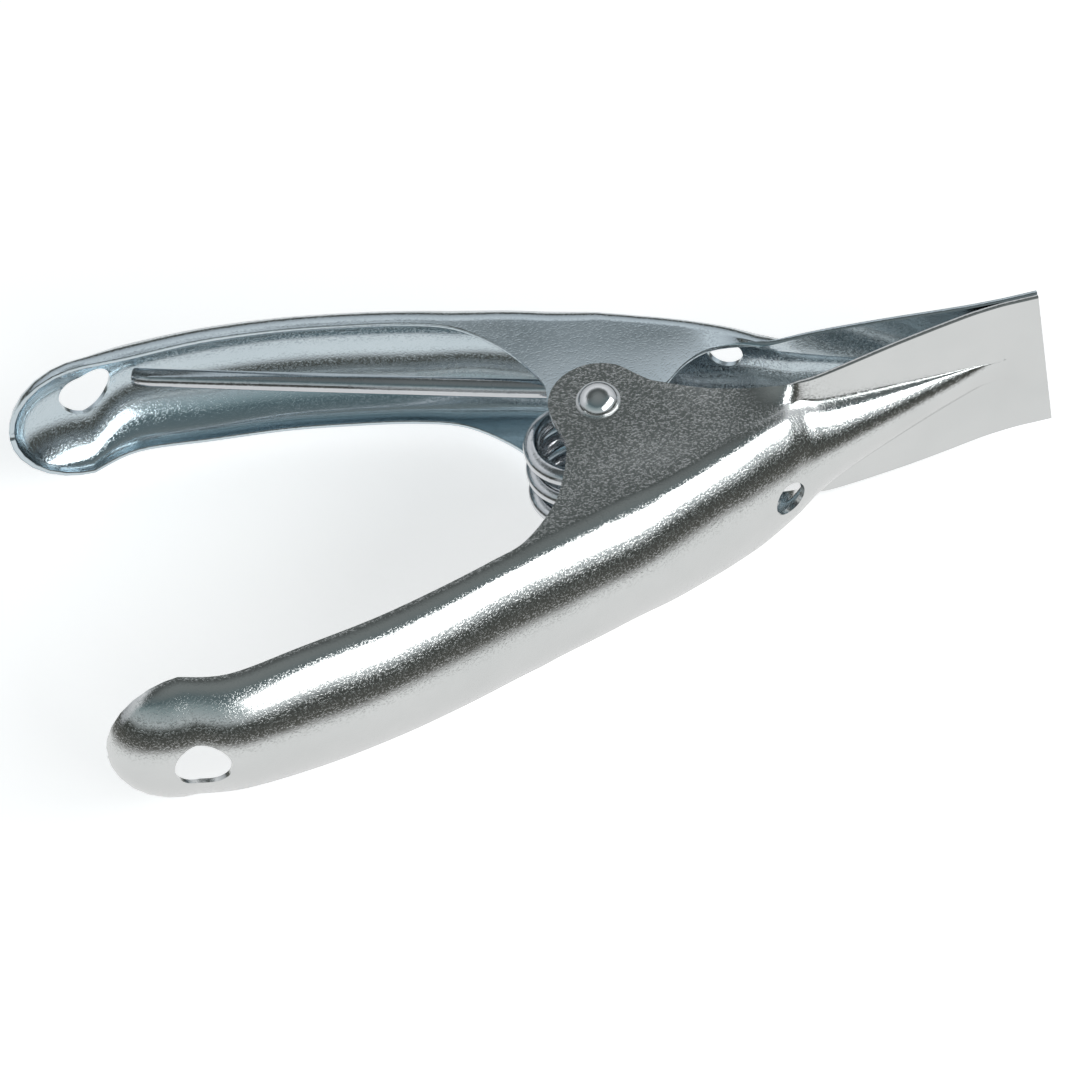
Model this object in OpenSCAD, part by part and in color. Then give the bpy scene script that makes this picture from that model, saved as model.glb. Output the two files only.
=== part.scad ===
// Spring clamp: two pressed steel handles with jaws, the rivet they turn on and the torsion spring
// that closes them. X runs from the grips (-) to the jaws (+), Z is the pivot axis, and the jaws
// close on the plane Y = 0. Millimetres, drawn closed.

/* [Overall] */
// From the pivot to the tip of the jaws
jaw_len = 68; // [56:1:84]
// From the pivot to the end of the inner handle
inner_grip_len = 85.1; // [70:0.1:104]
// From the pivot to the end of the outer handle
outer_grip_len = 87.2; // [72:0.1:106]
// Across the outside of the outer handle
body_w = 25; // [20:0.5:31]
// Width of the jaw plates
jaw_w = 27.4; // [26:0.2:34]

/* [Sheet] */
// Thickness of the pressed steel
sheet_t = 0.8; // [0.6:0.1:1.2]
// Side gap between the inner ears and the outer ears
ear_gap = 0.15; // [0.05:0.05:0.4]
// Gap between the closed jaw plates
jaw_gap = 0.06; // [0.02:0.01:0.2]

/* [Handles] */
// Height of the inner grip's rim above the jaw plane
grip_rise = 30.8; // [25:0.1:38]
// Angle that the outer handle is set out by, more than the inner one
outer_set = 4; // [0:0.5:8]
// Depth of the rounded channel
crown_h = 7.8; // [5:0.1:10]
// Straight wall above the rounded channel in the grips
grip_wall = 0.1; // [0.1:0.1:2]
// Radius of the rounded grip ends
end_r = 12.2; // [9:0.1:15]
// Height of the inner grip's end, as a share of the rise
inner_tip = 0.98; // [0.9:0.01:1]
// Height of the outer grip's end, as a share of the rise
outer_tip = 0.95; // [0.9:0.01:1]
// Depth of the channel at the inner grip's end
inner_end_depth = 6.2; // [4:0.1:9]
// Depth of the channel at the outer grip's end
outer_end_depth = 7.8; // [4:0.1:9]
// How much each side of the grip is drawn in before its end
waist = 0.7; // [0:0.1:2]
// Radius of the ears around the rivet
ear_r = 7.6; // [6:0.1:9.5]
// Width of the channel where it runs into the jaw plate
nose_w = 15.6; // [12:0.2:18]
// Diameter of the hang hole in the grip end
hang_hole_d = 8.4; // [5:0.1:10]
// Distance from the end's centre to the hang hole, towards the pivot
hang_x = 0.8; // [0:0.1:2]
// Diameter of the hole behind the jaw plate
pad_hole_d = 5.6; // [3:0.1:7]
// Distance from the pivot to that hole in the inner handle
inner_pad_x = 22.4; // [20:0.1:25]
// Distance from the pivot to that hole in the outer handle
outer_pad_x = 24.8; // [22:0.1:27]

/* [Rivet] */
// Diameter of the shank
rivet_d = 4; // [3:0.1:5]
// Radial clearance in the inner ears
pivot_clearance = 0.05; // [0.02:0.01:0.1]
// Diameter of the domed head
head_d = 6.8; // [6:0.1:9]
// Height of the domed head
head_h = 2.5; // [1.5:0.1:3]
// Diameter of the closing head
tail_d = 6.6; // [6:0.1:9]
// Height of the closing head
tail_h = 2; // [1.2:0.1:3]

/* [Spring] */
// Diameter of the wire
wire_d = 2.9; // [2.2:0.1:3.5]
// Outside diameter of the coil
coil_d = 18.4; // [16:0.1:21]
// Gap between neighbouring turns
turn_gap = 2; // [0.4:0.1:2.2]
// Distance from the pivot to the end of each arm
arm_len = 71.5; // [50:0.5:74]
// Clearance between an arm and the handle it pushes
arm_gap = 0.3; // [0.1:0.05:0.6]

/* [Hidden] */
$fn = 48;
inner_w = body_w - 2 * (sheet_t + ear_gap);
wall_cells = 2;
crown_cells = 8;
grip_depth = grip_wall + crown_h;
jaw_face = sheet_t + jaw_gap / 2;
// Sizes at which the curves below were drawn; the grips, the ears and the jaws stretch from them
rise_drawn = 30.8;
jaw_drawn = 68;
face_drawn = 0.83;

// Rim of a grip, as [share of the way from the ears to the end's centre, share of the rise]
GRIP_RIM = [[0.865, 1.01], [0.654, 0.99], [0.44, 0.945], [0.25, 0.877], [0.08, 0.8]];
// Share of the waist at those places
GRIP_WAIST = [1, 0, 0, 0, 0];
// From the pivot to where a grip's rim meets the ears' curve
ears_x = 20;

// Rim and web round the ears, as [rim x, rim y, web x]; before the jaw the hips add the share of the
// way by which the channel has narrowed to its nose
INNER_NECK = [[-17.4, 21.7, -14.4], [-11.9, 16.3, -10.6], [-8.6, 10.8, -7.4], [-6.9, 6, -4.6]];
OUTER_NECK = [[-17, 24, -13.6], [-11.4, 18.5, -9.8], [-8.4, 12.8, -6.8], [-6.7, 7.2, -4.4]];
INNER_HIP = [[7.4, -1.6, 5.2, 0], [9, 0.2, 6.8, 0], [11.2, 1.6, 9.2, 0], [14.6, 4.4, 13, 0],
    [18.3, 5.9, 17.4, 0.03], [23, 5.7, 22.6, 0.16], [27.5, 4.9, 27.2, 0.46]];
OUTER_HIP = [[8.4, -1.9, 5.4, 0], [10.4, -0.7, 7.6, 0], [13.4, 1, 11, 0], [16.4, 2.4, 14.6, 0],
    [21, 3.9, 19.8, 0.08], [26, 5, 25.4, 0.32], [28, 5.35, 27.8, 0.48]];
// Back of the web from the grip to the end of its nose on the jaw, as [x, y]
INNER_WEB = [[-15, 30.3], [-8, 28.1], [2.5, 24.4], [12.5, 20.1], [22.5, 15.5], [28, 12.5], [31, 10.7],
    [34, 9.1], [38, 7.5], [45, 5], [51, 3.2], [55, 2.15], [58, 1.45], [61, 1.1]];
OUTER_WEB = [[-14, 32], [-10.3, 30.8], [-2.3, 28.2], [5.8, 25.4], [14, 22.1], [22.3, 18.3],
    [26.6, 15.8], [31, 13.1], [34, 11.5], [38, 9.7], [45, 6.8], [51, 4.4], [55, 2.9], [58, 1.8],
    [61, 1.15]];
// How far the jaw plate's back lies outside its flat tip's, as [x, y]
INNER_PLATE = [[30.5, 3.87], [33, 3.57], [38, 2.77], [45, 1.57], [51, 0.82], [55, 0.45], [58, 0.21],
    [61, 0.07]];
OUTER_PLATE = [[30.5, 4.82], [33, 4.77], [38, 4.02], [45, 2.77], [51, 1.67], [55, 0.92], [58, 0.42],
    [61, 0.12]];
// Nose of the channel on the jaw plate, as [x, share of its width, share of the jaw's flare]
NOSE = [[33, 1, 0.25], [38, 0.82, 0.55], [45, 0.62, 0.9], [51, 0.46, 1], [55, 0.36, 1], [58, 0.29, 1],
    [61, 0.23, 1]];
// From the pivot to the flat at the jaw tip, and the angles of the stations round the grip end
flat_x = 63;
END_ANGLES = [86, 76, 64, 50, 36, 22, 10];

function unit(v) = v / norm(v);
function slope(k, i) = let (a = max(i - 1, 0), b = min(i + 1, len(k) - 1))
    (k[b][1] - k[a][1]) / (k[b][0] - k[a][0]);
function span(k, x, i = 0) = i >= len(k) - 2 || x < k[i + 1][0] ? i : span(k, x, i + 1);
// Height at x of a smooth curve through the knots k
function height(k, x) =
    let (i = span(k, x), d = k[i + 1][0] - k[i][0], u = (x - k[i][0]) / d)
    (2 * u^3 - 3 * u^2 + 1) * k[i][1] + (3 * u^2 - 2 * u^3) * k[i + 1][1]
    + (u^3 - 2 * u^2 + u) * d * slope(k, i) + (u^3 - u^2) * d * slope(k, i + 1);
// Turns a point about the pivot, away from the other handle
function set_out(p, a) = [p[0] * cos(a) + p[1] * sin(a), p[1] * cos(a) - p[0] * sin(a)];

// A station is [rim x, rim y, web x, web y, half width at the rim, half width of the channel].
// Handles are worked out with the web on the +Y side.
function rise_y(y) = y * grip_rise / rise_drawn;
function jaw_x(x) = x <= 30 ? x : 30 + (x - 30) * (jaw_len - 30) / (jaw_drawn - 30);
function grip_x(q, len_) = -(ears_x + (len_ - ears_x - end_r) * q);
function grip_rim(len_, tip) = [for (r = concat([[1, tip]], GRIP_RIM))
    [grip_x(r[0], len_), grip_rise * r[1]]];
function station(e, b, w, c, set) = let (f = set_out(e, set), g = set_out(b, set))
    [f[0], f[1], g[0], g[1], w, c];
function end_stations(len_, tip, depth, set) = [for (a = END_ANGLES)
    let (x = -(len_ - end_r) - end_r * sin(a), y = grip_rise * tip)
    station([x, y], [x, y + depth * cos(a)], end_r * cos(a), end_r * cos(a), set)];
function grip_stations(len_, hw, tip, depth, set) = [for (i = [0 : len(GRIP_RIM)])
    let (k = grip_rim(len_, tip), s = i == 0 ? 0 : slope(k, i), n = [-s, 1] / norm([s, 1]),
        w = i == 0 ? end_r : hw - waist * GRIP_WAIST[i - 1], d = i == 0 ? depth : grip_depth)
    station(k[i], k[i] + d * n, w, w, set)];
function ear_stations(neck, hip, web, hw) = concat(
    [for (r = neck) [r[0], rise_y(r[1]), r[2], rise_y(height(web, r[2])), hw, hw]],
    [for (a = [168 : 27 : 330]) let (x = -3.6 + 7.2 * (a - 168) / 162)
        [ear_r * cos(a), ear_r * sin(a), x, rise_y(height(web, x)), hw, hw]],
    [for (r = hip) [r[0], r[1], r[2], rise_y(height(web, r[2])), hw, hw + (nose_w / 2 - hw) * r[3]]]);
// Stations of the jaw, whose heights are measured from the back of its flat tip
function jaw_row(x, y, web_y, flare, c, hw) =
    [jaw_x(x), jaw_face + y, jaw_x(x), jaw_face + web_y, hw + (jaw_w / 2 - hw) * flare, c];
function jaw_web(web, x) = rise_y(height(web, x) - face_drawn);
function jaw_stations(plate, web, hw) = concat(
    [jaw_row(30.5, plate[0][1], jaw_web(web, 30.5), 0.08, hw + (nose_w / 2 - hw) * 0.76, hw)],
    [for (i = [0 : len(NOSE) - 1]) let (x = NOSE[i][0])
        jaw_row(x, plate[i + 1][1], jaw_web(web, x), NOSE[i][2], nose_w / 2 * NOSE[i][1], hw)],
    [for (x = [flat_x, (flat_x + jaw_drawn) / 2, jaw_drawn])
        jaw_row(x, 0, 0.02, 1, nose_w / 10, hw)]);
function middle(s, i) = (9 * (s[i] + s[i + 1]) - s[max(i - 1, 0)] - s[min(i + 2, len(s) - 1)]) / 16;
function finer(s) = [for (i = [0 : len(s) - 1], half = [0, 1]) if (half == 0 || i < len(s) - 1)
    half == 0 ? s[i] : middle(s, i)];

// Half of the channel's section where it is tilted by a, as [share of its half width, share of its
// depth]: a tight corner by the rim, and a flatter arc across the web
function section(a) = a < 40 ? [1 - 0.344 * (1 - cos(a)), 0.53 * sin(a)]
    : [1.2 * cos(a), 1 - 1.847 * (1 - sin(a))];
// Outside of the sheet at station r, column j, counted from the rim at +Z round to the rim at -Z
columns = 2 * (wall_cells + crown_cells) + 1;
function skin(r, j) =
    let (e = [r[0], r[1]], b = [r[2], r[3]], d = norm(b - e), n = (b - e) / d,
        h = min(crown_h, d * 0.92), k = min(j, columns - 1 - j), t = min(k / wall_cells, 1),
        q = section(90 * max(k - wall_cells, 0) / crown_cells),
        p = e + n * ((d - h) * t + h * q[1]), z = (r[4] + (r[5] - r[4]) * t) * q[0])
    [p[0], p[1], 2 * j < columns - 1 ? z : -z];
function inside(g, i, j) =
    let (rows = len(g) - 1, cols = columns - 1,
        u = g[min(i + 1, rows)][j] - g[max(i - 1, 0)][j],
        v = g[i][min(j + 1, cols)] - g[i][max(j - 1, 0)], n = cross(u, v))
    g[i][j] - sheet_t * n / norm(n);

module sheet(stations) {
    grid = [for (r = stations) [for (j = [0 : columns - 1]) skin(r, j)]];
    rows = len(grid);
    cells = rows * columns;
    points = concat([for (i = [0 : rows - 1], j = [0 : columns - 1]) grid[i][j]],
        [for (i = [0 : rows - 1], j = [0 : columns - 1]) inside(grid, i, j)]);
    function quad(a, b, c, d) = [[a, b, c], [a, c, d]];
    function id(i, j) = i * columns + j;
    outside = [for (i = [0 : rows - 2], j = [0 : columns - 2])
        each quad(id(i, j), id(i, j + 1), id(i + 1, j + 1), id(i + 1, j))];
    lining = [for (f = outside) [cells + f[0], cells + f[2], cells + f[1]]];
    rims = [for (i = [0 : rows - 2]) each concat(
        quad(id(i, 0), id(i + 1, 0), cells + id(i + 1, 0), cells + id(i, 0)),
        quad(id(i + 1, columns - 1), id(i, columns - 1),
            cells + id(i, columns - 1), cells + id(i + 1, columns - 1)))];
    ends = [for (j = [0 : columns - 2]) each concat(
        quad(id(0, j + 1), id(0, j), cells + id(0, j), cells + id(0, j + 1)),
        quad(id(rows - 1, j), id(rows - 1, j + 1),
            cells + id(rows - 1, j + 1), cells + id(rows - 1, j)))];
    polyhedron(points, concat(outside, lining, rims, ends));
}

// A round hole through the web, square to the rim's direction, at the point p
module web_hole(p, d, turn) {
    translate([p[0], p[1], 0]) rotate([0, 0, turn]) rotate([-90, 0, 0])
        translate([0, 0, -4]) cylinder(d = d, h = 16);
}

module handle(len_, hw, tip, depth, set, neck, hip, web, plate, pad_x, bore_d) {
    hang = set_out([-(len_ - end_r) + hang_x, grip_rise], set);
    pad = [pad_x, rise_y(height(web, pad_x))];
    pad_slope = atan(height(web, pad_x + 0.5) - height(web, pad_x - 0.5));
    difference() {
        sheet(concat(end_stations(len_, tip, depth, set), finer(concat(
            grip_stations(len_, hw, tip, depth, set),
            ear_stations(neck, hip, web, hw), jaw_stations(plate, web, hw)))));
        cylinder(d = bore_d, h = 2 * body_w, center = true);
        web_hole(hang, hang_hole_d, -set);
        web_hole(pad, pad_hole_d, pad_slope);
    }
}

module inner_handle() {
    color("lightsteelblue")
    handle(inner_grip_len, inner_w / 2, inner_tip, inner_end_depth, 0, INNER_NECK, INNER_HIP,
        INNER_WEB, INNER_PLATE, inner_pad_x, rivet_d + 2 * pivot_clearance);
}

module outer_handle() {
    color("silver")
    mirror([0, 1, 0])
    handle(outer_grip_len, body_w / 2, outer_tip, outer_end_depth, outer_set, OUTER_NECK,
        OUTER_HIP, OUTER_WEB, OUTER_PLATE, outer_pad_x, rivet_d);
}

// A domed rivet head of diameter d and height h, standing on z = 0
module dome(d, h) {
    r = (d * d / 4 + h * h) / (2 * h);
    rotate_extrude() polygon(concat([[0, 0], [d / 2, 0]],
        [for (i = [1 : 11]) let (a = asin(d / 2 / r) * (1 - i / 12)) [r * sin(a), h - r + r * cos(a)]],
        [[0, h]]));
}

module pivot_rivet() {
    color("gainsboro") {
        cylinder(d = rivet_d, h = body_w, center = true);
        translate([0, 0, body_w / 2]) dome(head_d, head_h);
        translate([0, 0, -body_w / 2]) mirror([0, 0, 1]) dome(tail_d, tail_h);
    }
}

// Centre of the coil, and the number of whole turns beside the part turn between the arms
coil_x = -3;
coil_y = -0.6;
coil_z = -0.4;
coil_turns = 3;
turn_steps = 12;
wire_sides = 8;
coil_r = (coil_d - wire_d) / 2;
// Place of an arm's end, on the lining of a grip that is set out by the angle set
function arm_end(len_, tip, set) =
    let (k = grip_rim(len_, tip), x = -sqrt(arm_len^2 - grip_rise^2),
        up = [for (i = [len(k) - 1 : -1 : 0]) [-k[i][0], k[i][1]]])
    set_out([x, height(up, -x) + grip_depth - sheet_t - arm_gap - wire_d / 2], set);
// Angle at which a straight arm from p touches the coil, for a coil wound clockwise
function touch(p) = let (d = p - [coil_x, coil_y])
    atan2(d[1], d[0]) - acos(coil_r / norm(d));

module torsion_spring() {
    top = arm_end(inner_grip_len, inner_tip, 0);
    low = arm_end(outer_grip_len, outer_tip, outer_set);
    a0 = touch(top);
    a1 = -touch([low[0], low[1] + 2 * coil_y]);
    turned = 360 * coil_turns + a0 - a1;
    drop = (wire_d + turn_gap) * turned / 360;
    count = ceil(turned / 360 * turn_steps);
    path = concat([[top[0], top[1], 0]],
        [for (i = [0 : count]) let (a = a0 - turned * i / count)
            [coil_x + coil_r * cos(a), coil_y + coil_r * sin(a), coil_z + drop * (0.5 - i / count)]],
        [[low[0], -low[1], 0]]);
    last = len(path) - 1;
    rings = [for (i = [0 : last])
        let (t = path[min(i + 1, last)] - path[max(i - 1, 0)], s = unit(cross(t, [0, 0, 1])),
            u = unit(cross(s, t)))
        for (k = [0 : wire_sides - 1]) let (a = 360 * k / wire_sides)
            path[i] + wire_d / 2 * (s * cos(a) + u * sin(a))];
    walls = [for (i = [0 : last - 1], k = [0 : wire_sides - 1])
        let (m = (k + 1) % wire_sides, a = i * wire_sides, b = a + wire_sides)
        each [[a + k, b + m, b + k], [a + k, a + m, b + m]]];
    caps = [[for (k = [wire_sides - 1 : -1 : 0]) k],
        [for (k = [0 : wire_sides - 1]) last * wire_sides + k]];
    color("slategray") polyhedron(rings, concat(walls, caps));
}

outer_handle();
inner_handle();
pivot_rivet();
torsion_spring();
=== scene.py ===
"""Spring clamp: smooth pressed handles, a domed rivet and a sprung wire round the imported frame."""
import math

import bmesh
import bpy
import numpy as np
from mathutils import Matrix, Vector

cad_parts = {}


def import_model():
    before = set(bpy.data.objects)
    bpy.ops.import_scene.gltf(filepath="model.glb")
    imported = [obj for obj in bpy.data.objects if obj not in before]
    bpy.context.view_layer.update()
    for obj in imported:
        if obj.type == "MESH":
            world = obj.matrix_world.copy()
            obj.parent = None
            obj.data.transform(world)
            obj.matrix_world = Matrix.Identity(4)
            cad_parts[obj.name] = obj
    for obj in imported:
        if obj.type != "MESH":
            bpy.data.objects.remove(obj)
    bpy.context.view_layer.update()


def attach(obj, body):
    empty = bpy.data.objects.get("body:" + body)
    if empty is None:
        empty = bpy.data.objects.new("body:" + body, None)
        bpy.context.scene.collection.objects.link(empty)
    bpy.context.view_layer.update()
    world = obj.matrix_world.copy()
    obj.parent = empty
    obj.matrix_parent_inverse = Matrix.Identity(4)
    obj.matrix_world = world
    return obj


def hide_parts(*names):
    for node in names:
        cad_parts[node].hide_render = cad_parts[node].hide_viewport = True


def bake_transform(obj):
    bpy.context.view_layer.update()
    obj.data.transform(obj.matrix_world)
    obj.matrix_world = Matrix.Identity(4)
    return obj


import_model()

MM = 0.001

# ---------------------------------------------------------------- sizes, in millimetres, as in the CAD
JAW_LEN = 68
INNER_GRIP_LEN = 85.1
OUTER_GRIP_LEN = 87.2
BODY_W = 25
JAW_W = 27.4
SHEET_T = 0.8
EAR_GAP = 0.15
JAW_GAP = 0.06
GRIP_RISE = 30.8
OUTER_SET = 4
CROWN_H = 7.8
INNER_TIP = 0.98
OUTER_TIP = 0.95
GRIP_WALL = 0.1
END_R = 12.2
INNER_END_DEPTH = 6.2
OUTER_END_DEPTH = 7.8
WAIST = 0.7
EAR_R = 7.6
NOSE_W = 15.6
HANG_HOLE_D = 8.4
HANG_X = 0.8
PAD_HOLE_D = 5.6
INNER_PAD_X = 22.4
OUTER_PAD_X = 24.8
RIVET_D = 4
PIVOT_CLEARANCE = 0.05
HEAD_D = 6.8
HEAD_H = 2.5
TAIL_D = 6.6
TAIL_H = 2
WIRE_D = 2.9
COIL_D = 18.4
TURN_GAP = 2
ARM_LEN = 71.5
ARM_GAP = 0.3
INNER_W = BODY_W - 2 * (SHEET_T + EAR_GAP)
GRIP_DEPTH = GRIP_WALL + CROWN_H
JAW_FACE = SHEET_T + JAW_GAP / 2
# How far behind the pivot the rim of a grip leaves the ears
EARS_X = 20
# From the pivot to where the channel runs into the jaw plate, and to the flat at the jaw's tip
JAW_START_X = 30.5
FLAT_X = 63
# Angles of the stations round a grip's end, and round the ears
END_ANGLES = [86, 76, 64, 50, 36, 22, 10]
EAR_ANGLES = range(168, 331, 27)
# The stations round the ears meet the web from this far behind the pivot to as far before it
EAR_WEB_REACH = 3.6

# Rim of a grip, as [share of the way from the ears to the end's centre, share of the rise]
GRIP_RIM = [[0.865, 1.01], [0.654, 0.99], [0.44, 0.945], [0.25, 0.877], [0.08, 0.8]]
# Share of the waist at those places
GRIP_WAIST = [1, 0, 0, 0, 0]
# Rim and web round the ears, as [rim x, rim y, web x]; the hips add the share of the way by which the
# channel has narrowed to its nose
INNER_NECK = [[-17.4, 21.7, -14.4], [-11.9, 16.3, -10.6], [-8.6, 10.8, -7.4], [-6.9, 6, -4.6]]
OUTER_NECK = [[-17, 24, -13.6], [-11.4, 18.5, -9.8], [-8.4, 12.8, -6.8], [-6.7, 7.2, -4.4]]
INNER_HIP = [[7.4, -1.6, 5.2, 0], [9, 0.2, 6.8, 0], [11.2, 1.6, 9.2, 0], [14.6, 4.4, 13, 0],
             [18.3, 5.9, 17.4, 0.03], [23, 5.7, 22.6, 0.16], [27.5, 4.9, 27.2, 0.46]]
OUTER_HIP = [[8.4, -1.9, 5.4, 0], [10.4, -0.7, 7.6, 0], [13.4, 1, 11, 0], [16.4, 2.4, 14.6, 0],
             [21, 3.9, 19.8, 0.08], [26, 5, 25.4, 0.32], [28, 5.35, 27.8, 0.48]]
# Back of the web from the grip to the end of its nose on the jaw, as [x, y]
INNER_WEB = [[-15, 30.3], [-8, 28.1], [2.5, 24.4], [12.5, 20.1], [22.5, 15.5], [28, 12.5], [31, 10.7],
             [34, 9.1], [38, 7.5], [45, 5], [51, 3.2], [55, 2.15], [58, 1.45], [61, 1.1]]
OUTER_WEB = [[-14, 32], [-10.3, 30.8], [-2.3, 28.2], [5.8, 25.4], [14, 22.1], [22.3, 18.3],
             [26.6, 15.8], [31, 13.1], [34, 11.5], [38, 9.7], [45, 6.8], [51, 4.4], [55, 2.9],
             [58, 1.8], [61, 1.15]]
# Height of the jaw plate's back, before its flat tip, as [x, y]
INNER_PLATE = [[30.5, 4.7], [33, 4.4], [38, 3.6], [45, 2.4], [51, 1.65], [55, 1.28], [58, 1.04],
               [61, 0.9]]
OUTER_PLATE = [[30.5, 5.65], [33, 5.6], [38, 4.85], [45, 3.6], [51, 2.5], [55, 1.75], [58, 1.25],
               [61, 0.95]]
# Nose of the channel on the jaw plate, as [x, share of its width, share of the jaw's flare]
NOSE = [[33, 1, 0.25], [38, 0.82, 0.55], [45, 0.62, 0.9], [51, 0.46, 1], [55, 0.36, 1], [58, 0.29, 1],
        [61, 0.23, 1]]
# Where the channel runs into the plate: its narrowing, as for the hips, and its share of the flare
START_NARROWED = 0.76
START_FLARE = 0.08

# The channel's section is a tight arc up to CORNER degrees of tilt and a flatter arc over the web;
# each arc's radii are shares of the half width and of the depth
CORNER = 40
TIGHT_ACROSS, TIGHT_DEEP = 0.344, 0.53
FLAT_ACROSS, FLAT_DEEP = 1.2, 1.847
# The rounded channel takes up at most this share of the depth, and fades out where that is tiny
CROWN_SHARE = 0.92
FADE_DEPTH = 0.03
FADE_LENGTH = 0.5
# Depth left at the flat tip
TIP_DEPTH = 0.02

# Cells of the smooth mesh: up each straight wall, round each half of the crown, between two stations
WALL_CELLS = 5
CROWN_CELLS = 26
ROW_CELLS = 6
# How far the sheet's rim is rounded off, and the rim's points as [share of the sheet, share inset]
EDGE_ROUND = 0.1
EDGE_POINTS = [[0.2, 0.2], [0.5, 0], [0.8, 0.2]]
# Faces that meet at more degrees than this keep a sharp edge
SHEET_CREASE = 38
TURNED_CREASE = 50


# ---------------------------------------------------------------- pressed handles
def cosd(a):
    return math.cos(math.radians(a))


def sind(a):
    return math.sin(math.radians(a))


def slope(k, i):
    """Slope of the curve through the knots k, at knot i."""
    a, b = max(i - 1, 0), min(i + 1, len(k) - 1)
    return (k[b][1] - k[a][1]) / (k[b][0] - k[a][0])


def height(k, x):
    """Height at x of a smooth curve through the knots k."""
    i = 0
    while i < len(k) - 2 and x >= k[i + 1][0]:
        i += 1
    d = k[i + 1][0] - k[i][0]
    u = (x - k[i][0]) / d
    return ((2 * u**3 - 3 * u**2 + 1) * k[i][1] + (3 * u**2 - 2 * u**3) * k[i + 1][1]
            + (u**3 - 2 * u**2 + u) * d * slope(k, i) + (u**3 - u**2) * d * slope(k, i + 1))


def set_out(p, a):
    """The point p turned about the pivot, away from the other handle."""
    return [p[0] * cosd(a) + p[1] * sind(a), p[1] * cosd(a) - p[0] * sind(a)]


def grip_rim(length, tip):
    """Knots of a grip's rim, from its end towards the ears."""
    reach = length - EARS_X - END_R
    return [[-(EARS_X + reach * q), GRIP_RISE * y] for q, y in [[1, tip]] + GRIP_RIM]


def station(e, b, w, c, turn):
    """[rim x, rim y, web x, web y, half width at the rim, half width of the channel]."""
    return [*set_out(e, turn), *set_out(b, turn), w, c]


def end_stations(length, tip, depth, turn):
    """Stations round the rounded end of a grip, from its outermost point inwards."""
    y = GRIP_RISE * tip
    rows = []
    for a in END_ANGLES:
        x = -(length - END_R) - END_R * sind(a)
        rows.append(station([x, y], [x, y + depth * cosd(a)], END_R * cosd(a), END_R * cosd(a), turn))
    return rows


def grip_stations(length, half, tip, depth, turn):
    """Stations along a grip, square to its rim."""
    k = grip_rim(length, tip)
    rows = []
    for i, knot in enumerate(k):
        s = slope(k, i) if i else 0
        n = np.array([-s, 1]) / math.hypot(s, 1)
        w = half - WAIST * GRIP_WAIST[i - 1] if i else END_R
        d = GRIP_DEPTH if i else depth
        rows.append(station(knot, list(np.array(knot) + d * n), w, w, turn))
    return rows


def ear_stations(neck, hip, web, half):
    """Stations down the neck, round the ears and along the hips."""
    rows = [[r[0], r[1], r[2], height(web, r[2]), half, half] for r in neck]
    for a, x in zip(EAR_ANGLES, np.linspace(-EAR_WEB_REACH, EAR_WEB_REACH, len(EAR_ANGLES))):
        rows.append([EAR_R * cosd(a), EAR_R * sind(a), x, height(web, x), half, half])
    for r in hip:
        rows.append([r[0], r[1], r[2], height(web, r[2]), half, half + (NOSE_W / 2 - half) * r[3]])
    return rows


def jaw_row(x, y, web_y, flare, c, half):
    """A station square across the jaw, flared by a share of the way to the jaw's width."""
    return [x, y, x, web_y, half + (JAW_W / 2 - half) * flare, c]


def jaw_stations(plate, web, half):
    """Stations along the jaw plate, with the channel's nose dying away on it."""
    start = half + (NOSE_W / 2 - half) * START_NARROWED
    rows = [jaw_row(JAW_START_X, plate[0][1], height(web, JAW_START_X), START_FLARE, start, half)]
    for (x, width, flare), (_, y) in zip(NOSE, plate[1:]):
        rows.append(jaw_row(x, y, height(web, x), flare, NOSE_W / 2 * width, half))
    for x in (FLAT_X, (FLAT_X + JAW_LEN) / 2, JAW_LEN):
        rows.append(jaw_row(x, JAW_FACE, JAW_FACE + TIP_DEPTH, 1, NOSE_W / 10, half))
    return rows


def smooth_rows(s, cells):
    """Rows on a Catmull-Rom curve through the stations s."""
    s = np.array(s, float)
    last = len(s) - 1
    rows = []
    for i in range(last):
        p = [s[max(i - 1, 0)], s[i], s[i + 1], s[min(i + 2, last)]]
        for k in range(cells):
            t = k / cells
            square = 2 * p[0] - 5 * p[1] + 4 * p[2] - p[3]
            cube = 3 * p[1] - p[0] - 3 * p[2] + p[3]
            rows.append(0.5 * (2 * p[1] + (p[2] - p[0]) * t + square * t**2 + cube * t**3))
    return rows + [s[last]]


def section(a):
    """Half of the channel's section where it is tilted by a: shares of its half width and depth."""
    if a < CORNER:
        return 1 - TIGHT_ACROSS * (1 - cosd(a)), TIGHT_DEEP * sind(a)
    return FLAT_ACROSS * cosd(a), 1 - FLAT_DEEP * (1 - sind(a))


def skin(r):
    """Outside of the sheet at station r, from the rim at +Z round to the rim at -Z."""
    e, b = np.array(r[0:2]), np.array(r[2:4])
    d = np.linalg.norm(b - e)
    n = (b - e) / d
    h = min(CROWN_H, d * CROWN_SHARE) * min(1, max(0, (d - FADE_DEPTH) / FADE_LENGTH))
    columns = 2 * (WALL_CELLS + CROWN_CELLS) + 1
    line = []
    for j in range(columns):
        k = min(j, columns - 1 - j)
        t = min(k / WALL_CELLS, 1)
        across, deep = section(90 * max(k - WALL_CELLS, 0) / CROWN_CELLS)
        p = e + n * ((d - h) * t + h * deep)
        z = (r[4] + (r[5] - r[4]) * t) * across
        line.append([p[0], p[1], z if 2 * j < columns - 1 else -z])
    return line


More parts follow.
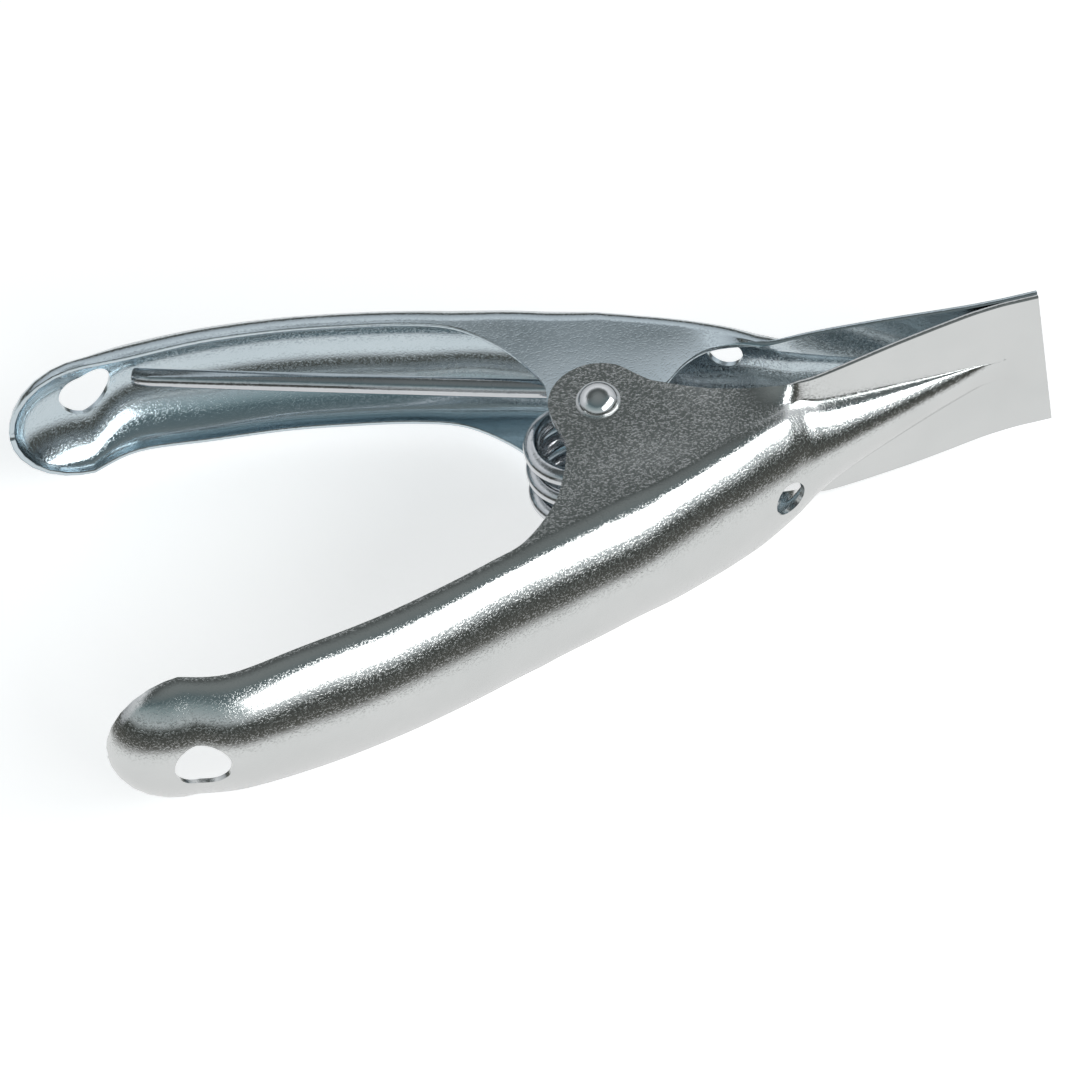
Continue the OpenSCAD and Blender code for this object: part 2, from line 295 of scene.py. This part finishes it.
def sheet_normals(out):
    """Unit normals of the grid of points, facing outwards."""
    along = np.empty_like(out)
    along[1:-1] = out[2:] - out[:-2]
    along[0], along[-1] = out[1] - out[0], out[-1] - out[-2]
    across = np.empty_like(out)
    across[:, 1:-1] = out[:, 2:] - out[:, :-2]
    across[:, 0], across[:, -1] = out[:, 1] - out[:, 0], out[:, -1] - out[:, -2]
    normal = np.cross(along, across)
    return normal / np.linalg.norm(normal, axis=2, keepdims=True)


def rim_direction(out, i, j):
    """Unit vector at point i, j of the grid's rim that points out of the sheet, along its face."""
    rows, cols = out.shape[:2]
    away = np.zeros(3)
    neighbours = []
    if i in (0, rows - 1):
        neighbours.append(out[1 if i == 0 else rows - 2, j])
    if j in (0, cols - 1):
        neighbours.append(out[i, 1 if j == 0 else cols - 2])
    for neighbour in neighbours:
        step = out[i, j] - neighbour
        away += step / np.linalg.norm(step)
    return away / np.linalg.norm(away)


def sheet_mesh(stations):
    """Vertices and faces of the pressed sheet, with the web on the +Y side and a rounded rim."""
    out = np.array([skin(r) for r in stations])
    rows, cols = out.shape[:2]
    normal = sheet_normals(out)
    lining = out - SHEET_T * normal
    cells = rows * cols
    faces = []
    for i in range(rows - 1):
        for j in range(cols - 1):
            a = i * cols + j
            d = a + cols
            faces.append((a, d, d + 1, a + 1))
            faces.append((cells + a, cells + a + 1, cells + d + 1, cells + d))
    loop = [(i, 0) for i in range(rows - 1)] + [(rows - 1, j) for j in range(cols - 1)]
    loop += [(i, cols - 1) for i in range(rows - 1, 0, -1)] + [(0, j) for j in range(cols - 1, 0, -1)]
    strip = []
    trim = np.zeros_like(out)
    for i, j in loop:
        away = rim_direction(out, i, j)
        for deep, inset in EDGE_POINTS:
            strip.append(out[i, j] - deep * SHEET_T * normal[i, j] - inset * EDGE_ROUND * away)
        trim[i, j] = -EDGE_ROUND * away
    lines = []
    for k, (i, j) in enumerate(loop):
        m = 2 * cells + len(EDGE_POINTS) * k
        lines.append([i * cols + j, *range(m, m + len(EDGE_POINTS)), cells + i * cols + j])
    for line, following in zip(lines, lines[1:] + lines[:1]):
        for q in range(len(EDGE_POINTS) + 1):
            faces.append((line[q], line[q + 1], following[q + 1], following[q]))
    verts = [(out + trim).reshape(-1, 3), (lining + trim).reshape(-1, 3), np.array(strip)]
    return np.concatenate(verts), faces


def new_object(name, verts, faces):
    """A new object in the scene with that mesh."""
    mesh = bpy.data.meshes.new(name)
    mesh.from_pydata([tuple(v) for v in verts], [], faces)
    mesh.validate()
    obj = bpy.data.objects.new(name, mesh)
    bpy.context.scene.collection.objects.link(obj)
    return obj


def apply_modifiers(obj):
    """Replace the object's mesh by what its modifiers make of it."""
    evaluated = obj.evaluated_get(bpy.context.evaluated_depsgraph_get())
    mesh = bpy.data.meshes.new_from_object(evaluated)
    old = obj.data
    obj.modifiers.clear()
    obj.data = mesh
    bpy.data.meshes.remove(old)


def smooth_by_angle(obj, angle):
    """Smooth shading, with sharp edges where faces meet at more than angle degrees."""
    bm = bmesh.new()
    bm.from_mesh(obj.data)
    for face in bm.faces:
        face.smooth = True
    for edge in bm.edges:
        edge.smooth = len(edge.link_faces) == 2 and edge.calc_face_angle(0) < math.radians(angle)
    bm.to_mesh(obj.data)
    bm.free()


def cutter(radius, depth, matrix):
    """A cylinder for cutting a hole."""
    bm = bmesh.new()
    bmesh.ops.create_cone(bm, cap_ends=True, segments=96, radius1=radius * MM, radius2=radius * MM,
                          depth=depth * MM, matrix=matrix)
    mesh = bpy.data.meshes.new("cutter")
    bm.to_mesh(mesh)
    bm.free()
    obj = bpy.data.objects.new("cutter", mesh)
    bpy.context.scene.collection.objects.link(obj)
    return obj


def hole_matrix(p, turn, side):
    """A round cutter's place: its axis square to the web, at p."""
    move = Matrix.Translation((p[0] * MM, side * p[1] * MM, 0))
    spin = Matrix.Rotation(math.radians(side * turn), 4, "Z")
    lay = Matrix.Rotation(math.radians(90), 4, "X")
    return move @ spin @ lay


# Lengths of the cutters, and how far the hang hole's cutter is centred above the rim
HANG_CUT_L = 24
HANG_CUT_LIFT = 4
PAD_CUT_L = 16


def handle(name, length, width, tip, depth, turn, neck, hip, web, plate, pad_x, bore_d, side):
    """One pressed handle; side is +1 where its web faces +Y and -1 where it faces -Y."""
    half = width / 2
    body = (grip_stations(length, half, tip, depth, turn) + ear_stations(neck, hip, web, half)
            + jaw_stations(plate, web, half))
    verts, faces = sheet_mesh(end_stations(length, tip, depth, turn) + smooth_rows(body, ROW_CELLS))
    verts = verts * np.array([1, side, 1]) * MM
    if side < 0:
        faces = [f[::-1] for f in faces]
    obj = new_object(name, verts, faces)
    hang = set_out([-(length - END_R) + HANG_X, GRIP_RISE], turn)
    pad_slope = math.degrees(math.atan(height(web, pad_x + 0.5) - height(web, pad_x - 0.5)))
    hang_centre = [hang[0], hang[1] + HANG_CUT_LIFT]
    pad_centre = [pad_x, height(web, pad_x)]
    cuts = [cutter(bore_d / 2, 2 * BODY_W, Matrix.Identity(4)),
            cutter(HANG_HOLE_D / 2, HANG_CUT_L, hole_matrix(hang_centre, -turn, side)),
            cutter(PAD_HOLE_D / 2, PAD_CUT_L, hole_matrix(pad_centre, pad_slope, side))]
    for cut in cuts:
        mod = obj.modifiers.new("hole", "BOOLEAN")
        mod.operation = "DIFFERENCE"
        mod.solver = "EXACT"
        mod.object = cut
    apply_modifiers(obj)
    for cut in cuts:
        bpy.data.objects.remove(cut)
    smooth_by_angle(obj, SHEET_CREASE)
    return obj


# ---------------------------------------------------------------- rivet
def lathe(name, profile, segments=128):
    """A turned piece from a profile of [radius, z], closed on the axis at both ends."""
    verts = [(0, 0, profile[0][1] * MM)]
    for r, z in profile[1:-1]:
        for k in range(segments):
            a = 2 * math.pi * k / segments
            verts.append((r * math.cos(a) * MM, r * math.sin(a) * MM, z * MM))
    verts.append((0, 0, profile[-1][1] * MM))
    rings = len(profile) - 2
    last = len(verts) - 1
    faces = []
    for k in range(segments):
        m = (k + 1) % segments
        faces.append((0, 1 + m, 1 + k))
        for i in range(rings - 1):
            a, b = 1 + i * segments, 1 + (i + 1) * segments
            faces.append((a + k, a + m, b + m, b + k))
        top = 1 + (rings - 1) * segments
        faces.append((top + k, top + m, last))
    return new_object(name, verts, faces)


# Height of the small round at the foot of a rivet head, and the steps from there to the crown
FOOT_H = 0.16
DOME_STEPS = 24


def dome_profile(d, h, base):
    """Points of a domed head from its foot to just before its crown."""
    r = (d * d / 4 + h * h) / (2 * h)
    edge = math.degrees(math.asin(d / 2 / r))
    points = [[d / 2 - 0.12, base], [d / 2 - 0.03, base + 0.05], [d / 2, base + FOOT_H]]
    for i in range(1, DOME_STEPS):
        a = edge * (1 - i / DOME_STEPS)
        rise = h - r + r * cosd(a)
        points.append([r * sind(a), base + FOOT_H + (h - FOOT_H) / h * rise])
    return points


def rivet():
    """The rivet along Z, with its formed head up and its closing head down."""
    head = dome_profile(HEAD_D, HEAD_H, BODY_W / 2)
    tail = [[r, -z] for r, z in dome_profile(TAIL_D, TAIL_H, BODY_W / 2)][::-1]
    shank = [[RIVET_D / 2, -BODY_W / 2], [RIVET_D / 2, BODY_W / 2]]
    profile = [[0, -BODY_W / 2 - TAIL_H]] + tail + shank + head + [[0, BODY_W / 2 + HEAD_H]]
    obj = lathe("rivet_turned", profile)
    smooth_by_angle(obj, TURNED_CREASE)
    return obj


# ---------------------------------------------------------------- torsion spring
COIL_X, COIL_Y, COIL_Z = -3, -0.6, -0.4
COIL_TURNS = 3
COIL_R = (COIL_D - WIRE_D) / 2
# Roughly the degrees between two rings of the coil, rings on each arm, and the chamfer of the cut ends
COIL_STEP = 5
ARM_RINGS = 25
CUT_CHAMFER = 0.18


def arm_end(length, tip, turn):
    """Place of an arm's end, on the lining of a grip."""
    x = -math.sqrt(ARM_LEN**2 - GRIP_RISE**2)
    up = [[-p[0], p[1]] for p in grip_rim(length, tip)[::-1]]
    return set_out([x, height(up, -x) + GRIP_DEPTH - SHEET_T - ARM_GAP - WIRE_D / 2], turn)


def touch(p):
    """Angle at which a straight arm from p touches the coil."""
    d = [p[0] - COIL_X, p[1] - COIL_Y]
    return math.degrees(math.atan2(d[1], d[0])) - math.degrees(math.acos(COIL_R / math.hypot(*d)))


def sweep(name, path, radius, sides=24):
    """A round wire of that radius along the path, with chamfered cut ends."""
    path = np.array(path, float)
    ahead = np.vstack([path[1:], path[-1:]]) - np.vstack([path[:1], path[:-1]])
    ahead /= np.linalg.norm(ahead, axis=1, keepdims=True)
    right = np.cross(ahead, [0, 0, 1])
    right /= np.linalg.norm(right, axis=1, keepdims=True)
    up = np.cross(right, ahead)
    centres = np.vstack([path[:1], path[:1] + CUT_CHAMFER * ahead[:1], path[1:-1],
                         path[-1:] - CUT_CHAMFER * ahead[-1:], path[-1:]])
    right = np.vstack([right[:1], right[:1], right[1:-1], right[-1:], right[-1:]])
    up = np.vstack([up[:1], up[:1], up[1:-1], up[-1:], up[-1:]])
    radii = np.full(len(centres), radius)
    radii[[0, -1]] = radius - CUT_CHAMFER
    verts = []
    for c, s, u, r in zip(centres, right, up, radii):
        for k in range(sides):
            a = 2 * math.pi * k / sides
            verts.append((c + r * (s * math.cos(a) + u * math.sin(a))) * MM)
    last = len(centres) - 1
    faces = [tuple(range(sides)), tuple(last * sides + k for k in reversed(range(sides)))]
    for i in range(last):
        for k in range(sides):
            m = (k + 1) % sides
            a, b = i * sides, (i + 1) * sides
            faces.append((a + k, b + k, b + m, a + m))
    return new_object(name, verts, faces)


def spring():
    """The torsion spring: an arm to each grip's lining and a coil round the rivet between them."""
    top = arm_end(INNER_GRIP_LEN, INNER_TIP, 0)
    low = arm_end(OUTER_GRIP_LEN, OUTER_TIP, OUTER_SET)
    a0 = touch(top)
    a1 = -touch([low[0], low[1] + 2 * COIL_Y])
    turned = 360 * COIL_TURNS + a0 - a1
    drop = (WIRE_D + TURN_GAP) * turned / 360
    count = int(turned / COIL_STEP)
    coil = []
    for i in range(count + 1):
        a = a0 - turned * i / count
        z = COIL_Z + drop * (0.5 - i / count)
        coil.append([COIL_X + COIL_R * cosd(a), COIL_Y + COIL_R * sind(a), z])
    upper = np.linspace([top[0], top[1], 0], coil[0], ARM_RINGS)
    lower = np.linspace(coil[-1], [low[0], -low[1], 0], ARM_RINGS)
    obj = sweep("spring_wire", np.vstack([upper[:-1], coil, lower[1:]]), WIRE_D / 2)
    smooth_by_angle(obj, TURNED_CREASE)
    return obj


outer = handle("outer_handle_pressed", OUTER_GRIP_LEN, BODY_W, OUTER_TIP, OUTER_END_DEPTH, OUTER_SET,
               OUTER_NECK, OUTER_HIP, OUTER_WEB, OUTER_PLATE, OUTER_PAD_X, RIVET_D, -1)
inner = handle("inner_handle_pressed", INNER_GRIP_LEN, INNER_W, INNER_TIP, INNER_END_DEPTH, 0,
               INNER_NECK, INNER_HIP, INNER_WEB, INNER_PLATE, INNER_PAD_X,
               RIVET_D + 2 * PIVOT_CLEARANCE, 1)
pin = rivet()
wire = spring()
PIECES = [(outer, "outer", "outer_handle"), (inner, "inner", "inner_handle"),
          (pin, "outer", "pivot_rivet"), (wire, None, "torsion_spring")]
for obj, body, node in PIECES:
    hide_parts(node)
    if body:
        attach(obj, body)
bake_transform(wire)


# ---------------------------------------------------------------- materials
def node(tree, kind, **values):
    """A new node, with values for its settings and, by name, for its inputs."""
    n = tree.nodes.new(kind)
    for key, value in values.items():
        if hasattr(n, key):
            setattr(n, key, value)
        else:
            n.inputs[key.replace("_", " ")].default_value = value
    return n


# Depth of the faint waves in the flats, and of the grain, in metres
SAG = 0.002
GRAIN = 0.0001
# Noise values over which the roughness runs, and its shares of the given roughness at their ends
ROUGH_NOISE = (0.35, 0.7)
ROUGH_SHARE = (0.8, 1.35)
# Noise values over which a fleck of the grain rises
FLECK_NOISE = (0.52, 0.78)


def metal(name, color, dark, rough, grain, grain_scale, lean):
    """Plated or bare steel with fine grain, and faint waves; its faces up lean to +Y by the slope lean."""
    mat = bpy.data.materials.new(name)
    mat.use_nodes = True
    tree = mat.node_tree
    link = tree.links.new
    shader = tree.nodes["Principled BSDF"]
    shader.inputs["Metallic"].default_value = 1
    place = node(tree, "ShaderNodeTexCoord")
    fine = node(tree, "ShaderNodeTexNoise", Scale=grain_scale, Detail=3, Roughness=0.6)
    link(place.outputs["Object"], fine.inputs["Vector"])
    broad = node(tree, "ShaderNodeTexNoise", Scale=90, Detail=4, Roughness=0.55)
    link(place.outputs["Object"], broad.inputs["Vector"])
    tone = node(tree, "ShaderNodeMix", data_type="RGBA")
    tone.inputs["A"].default_value = (*color, 1)
    tone.inputs["B"].default_value = (*dark, 1)
    link(broad.outputs["Fac"], tone.inputs["Factor"])
    link(tone.outputs["Result"], shader.inputs["Base Color"])
    spread = node(tree, "ShaderNodeMapRange")
    spread.inputs["From Min"].default_value = ROUGH_NOISE[0]
    spread.inputs["From Max"].default_value = ROUGH_NOISE[1]
    spread.inputs["To Min"].default_value = rough * ROUGH_SHARE[0]
    spread.inputs["To Max"].default_value = rough * ROUGH_SHARE[1]
    link(fine.outputs["Fac"], spread.inputs["Value"])
    link(spread.outputs["Result"], shader.inputs["Roughness"])
    wave = node(tree, "ShaderNodeTexNoise", Scale=28, Detail=1)
    link(place.outputs["Object"], wave.inputs["Vector"])
    parts = node(tree, "ShaderNodeSeparateXYZ")
    link(place.outputs["Object"], parts.inputs["Vector"])
    slant = node(tree, "ShaderNodeMath", operation="MULTIPLY_ADD")
    slant.inputs[1].default_value = -lean / SAG
    link(parts.outputs["Y"], slant.inputs[0])
    link(wave.outputs["Fac"], slant.inputs[2])
    sag = node(tree, "ShaderNodeBump", Strength=1, Distance=SAG)
    link(slant.outputs["Value"], sag.inputs["Height"])
    fleck = node(tree, "ShaderNodeMapRange")
    fleck.inputs["From Min"].default_value = FLECK_NOISE[0]
    fleck.inputs["From Max"].default_value = FLECK_NOISE[1]
    link(fine.outputs["Fac"], fleck.inputs["Value"])
    bump = node(tree, "ShaderNodeBump", Strength=grain, Distance=GRAIN)
    link(fleck.outputs["Result"], bump.inputs["Height"])
    link(sag.outputs["Normal"], bump.inputs["Normal"])
    link(bump.outputs["Normal"], shader.inputs["Normal"])
    return mat


zinc = metal("zinc_plate", (0.78, 0.79, 0.785), (0.68, 0.695, 0.69), 0.14, 0.2, 3000, 0)
# The inner handle gets a darker, bluer copy of the same zinc: painted shade and a painted blue reflection,
# not a different plating.
zinc_painted_shade_inner = metal("zinc_plate_painted_shade_inner", (0.67, 0.75, 0.79), (0.57, 0.66, 0.71), 0.13, 0.17, 3000, 0.08)
polished = metal("rivet_steel", (0.84, 0.85, 0.86), (0.76, 0.77, 0.78), 0.1, 0.1, 1500, 0)
drawn = metal("spring_wire_steel", (0.72, 0.74, 0.76), (0.6, 0.62, 0.65), 0.13, 0.15, 1800, 0)
for obj, mat in ((outer, zinc), (inner, zinc_painted_shade_inner), (pin, polished), (wire, drawn)):
    obj.data.materials.clear()
    obj.data.materials.append(mat)


# ---------------------------------------------------------------- floor, light and camera
# The floor lies just under the rivet's closing head; it is a square of twice FLOOR_HALF
FLOOR_Z = -0.0147
FLOOR_HALF = 8
TABLE_GLOW = 0.62
# Half the width of the blend, in the Y of a unit direction, between the world's two sides
SIDE_BLEND = 0.2


def ramp(tree, factor, stops):
    """A colour ramp on a factor, with stops of [position, colour]."""
    n = tree.nodes.new("ShaderNodeValToRGB")
    while len(n.color_ramp.elements) < len(stops):
        n.color_ramp.elements.new(0.5)
    for element, (position, color) in zip(n.color_ramp.elements, stops):
        element.position = position
        element.color = (*color, 1)
    tree.links.new(factor, n.inputs["Fac"])
    return n.outputs["Color"]


def floor():
    """A pale table that glows; seen by the metal, it dims towards the horizon."""
    h = FLOOR_HALF
    corners = [(-h, -h, FLOOR_Z), (h, -h, FLOOR_Z), (h, h, FLOOR_Z), (-h, h, FLOOR_Z)]
    obj = new_object("floor", corners, [(0, 1, 2, 3)])
    mat = bpy.data.materials.new("pale_floor")
    mat.use_nodes = True
    tree = mat.node_tree
    table = tree.nodes["Principled BSDF"]
    table.inputs["Base Color"].default_value = (0.9, 0.9, 0.9, 1)
    table.inputs["Roughness"].default_value = 0.9
    table.inputs["Specular IOR Level"].default_value = 0
    table.inputs["Emission Color"].default_value = (1, 1, 1, 1)
    table.inputs["Emission Strength"].default_value = TABLE_GLOW
    facing = node(tree, "ShaderNodeLayerWeight", Blend=0.5)
    glow = node(tree, "ShaderNodeEmission", Strength=1)
    shade = ramp(tree, facing.outputs["Facing"], [[0, (0.82, 0.82, 0.82)], [0.55, (0.86, 0.87, 0.87)],
                                                  [0.72, (0.1, 0.1, 0.09)], [1, (0.06, 0.065, 0.06)]])
    tree.links.new(shade, glow.inputs["Color"])
    path = tree.nodes.new("ShaderNodeLightPath")
    mix = tree.nodes.new("ShaderNodeMixShader")
    tree.links.new(path.outputs["Is Camera Ray"], mix.inputs["Fac"])
    tree.links.new(glow.outputs["Emission"], mix.inputs[1])
    tree.links.new(table.outputs["BSDF"], mix.inputs[2])
    tree.links.new(mix.outputs["Shader"], tree.nodes["Material Output"].inputs["Surface"])
    obj.data.materials.append(mat)


def panel(name, place, aim, size_x, size_y, power):
    """A soft box at place that faces the point aim."""
    light = bpy.data.lights.new(name, "AREA")
    light.shape = "RECTANGLE"
    light.size = size_x
    light.size_y = size_y
    light.energy = power
    obj = bpy.data.objects.new(name, light)
    bpy.context.scene.collection.objects.link(obj)
    obj.location = place
    obj.rotation_euler = (Vector(aim) - Vector(place)).to_track_quat("-Z", "Y").to_euler()


def world():
    """Pale to the camera; to the metal, a dim room with a light wall behind."""
    w = bpy.data.worlds.new("studio")
    bpy.context.scene.world = w
    w.use_nodes = True
    tree = w.node_tree
    link = tree.links.new
    back = tree.nodes["Background"]
    where = tree.nodes.new("ShaderNodeTexCoord")
    parts = tree.nodes.new("ShaderNodeSeparateXYZ")
    link(where.outputs["Generated"], parts.inputs["Vector"])
    ahead = ramp(tree, parts.outputs["Z"], [[0, (0.05, 0.055, 0.05)], [0.1, (0.06, 0.065, 0.06)],
                                            [0.22, (0.5, 0.54, 0.55)], [0.5, (0.28, 0.35, 0.36)],
                                            [0.66, (0.1, 0.14, 0.15)], [1, (0.2, 0.22, 0.22)]])
    behind = ramp(tree, parts.outputs["Z"], [[0, (0.4, 0.42, 0.44)], [0.56, (0.76, 0.78, 0.8)],
                                             [0.66, (0.3, 0.32, 0.33)], [0.72, (0.1, 0.112, 0.11)],
                                             [0.84, (0.09, 0.1, 0.1)], [1, (0.2, 0.22, 0.22)]])
    turn = node(tree, "ShaderNodeMapRange")
    turn.inputs["From Min"].default_value = -SIDE_BLEND
    turn.inputs["From Max"].default_value = SIDE_BLEND
    link(parts.outputs["Y"], turn.inputs["Value"])
    room = node(tree, "ShaderNodeMix", data_type="RGBA")
    link(turn.outputs["Result"], room.inputs["Factor"])
    link(ahead, room.inputs["A"])
    link(behind, room.inputs["B"])
    path = tree.nodes.new("ShaderNodeLightPath")
    mix = node(tree, "ShaderNodeMix", data_type="RGBA")
    link(path.outputs["Is Camera Ray"], mix.inputs["Factor"])
    link(room.outputs["Result"], mix.inputs["A"])
    mix.inputs["B"].default_value = (0.9, 0.9, 0.9, 1)
    link(mix.outputs["Result"], back.inputs["Color"])


# Camera: angles in degrees, then metres; it looks past the pivot by AIM_RIGHT and AIM_UP in its own axes
ELEVATION, AZIMUTH, ROLL = 48.5, -7.9, -7.05
CAMERA_DISTANCE = 6
FRAME_WIDTH = 0.162
AIM_RIGHT, AIM_UP = -0.00972, -0.012675
# Width of the film, in millimetres
SENSOR = 36


def camera():
    """A long lens at the viewing angle, so nearly without perspective."""
    back = Vector((sind(AZIMUTH) * cosd(ELEVATION), -cosd(AZIMUTH) * cosd(ELEVATION), sind(ELEVATION)))
    flat_right = (-back).cross(Vector((0, 0, 1))).normalized()
    flat_up = flat_right.cross(-back)
    right = cosd(ROLL) * flat_right + sind(ROLL) * flat_up
    up = -sind(ROLL) * flat_right + cosd(ROLL) * flat_up
    data = bpy.data.cameras.new("camera")
    data.sensor_width = SENSOR
    data.lens = SENSOR * CAMERA_DISTANCE / FRAME_WIDTH
    data.clip_start = 0.1
    data.clip_end = 40
    obj = bpy.data.objects.new("camera", data)
    bpy.context.scene.collection.objects.link(obj)
    place = AIM_RIGHT * right + AIM_UP * up + back * CAMERA_DISTANCE
    obj.matrix_world = Matrix.Translation(place) @ Matrix((right, up, back)).transposed().to_4x4()
    bpy.context.scene.camera = obj


bpy.context.scene.view_settings.view_transform = "Standard"
floor()
panel("front_box", (0.7, -0.62, 0.56), (0, 0, 0), 1.5, 0.42, 7)
world()
camera()
